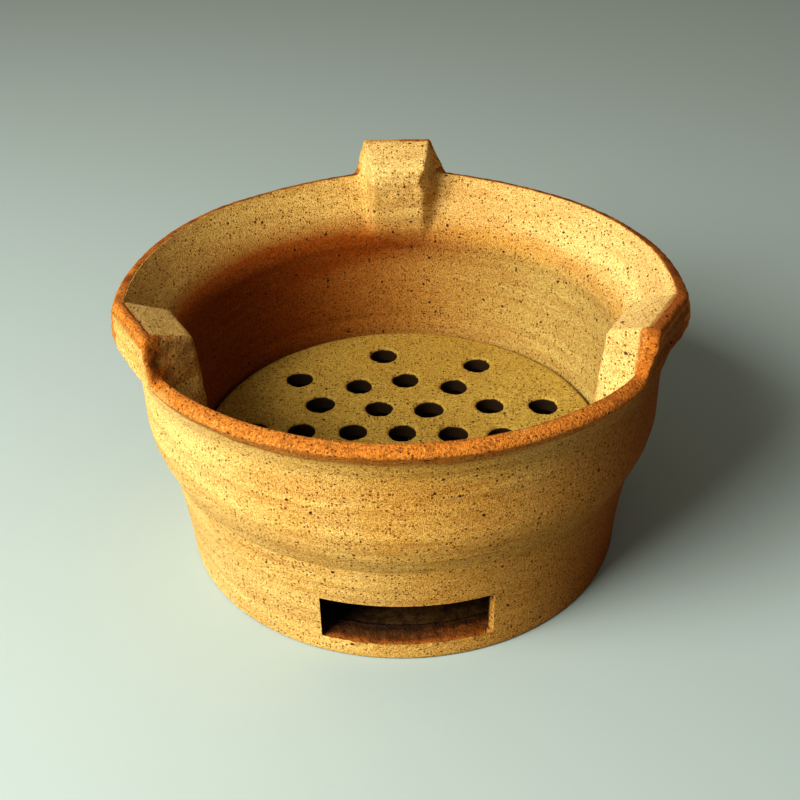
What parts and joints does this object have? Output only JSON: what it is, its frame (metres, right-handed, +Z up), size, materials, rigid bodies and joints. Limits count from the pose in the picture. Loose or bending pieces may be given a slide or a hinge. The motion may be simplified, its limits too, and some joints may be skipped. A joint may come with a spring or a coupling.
{
  "type": "clay charcoal stove",
  "caption": "Round unglazed clay charcoal stove: a flared fire bowl with pot rests on its rim, an ash base with a draught slot, and a loose pierced grate that lifts out.",
  "frame": {"origin": "on the table, at the centre of the round foot", "axes": "+Z up along the pot's axis; -Y is the front, with the draught slot; +X is the viewer's right"},
  "size_m": [0.242, 0.242, 0.1395],
  "materials": {
    "pot_clay": "unglazed grogged stoneware, iron-flashed at the rim",
    "grate_clay": "unglazed stoneware slab, scraped flat"
  },
  "bodies": {
    "pot": {"ash_base": "pot_clay", "fire_bowl": "pot_clay", "grate_ledge": "pot_clay", "pot_rest_back": "pot_clay", "pot_rest_left": "pot_clay", "pot_rest_right": "pot_clay"},
    "grate": {"fire_grate": "grate_clay"}
  },
  "joints": [
    {"name": "grate_lift", "type": "slide", "parent": "pot", "child": "grate", "axis": [0, 0, 1], "range_m": [0, 0.12]}
  ]
}
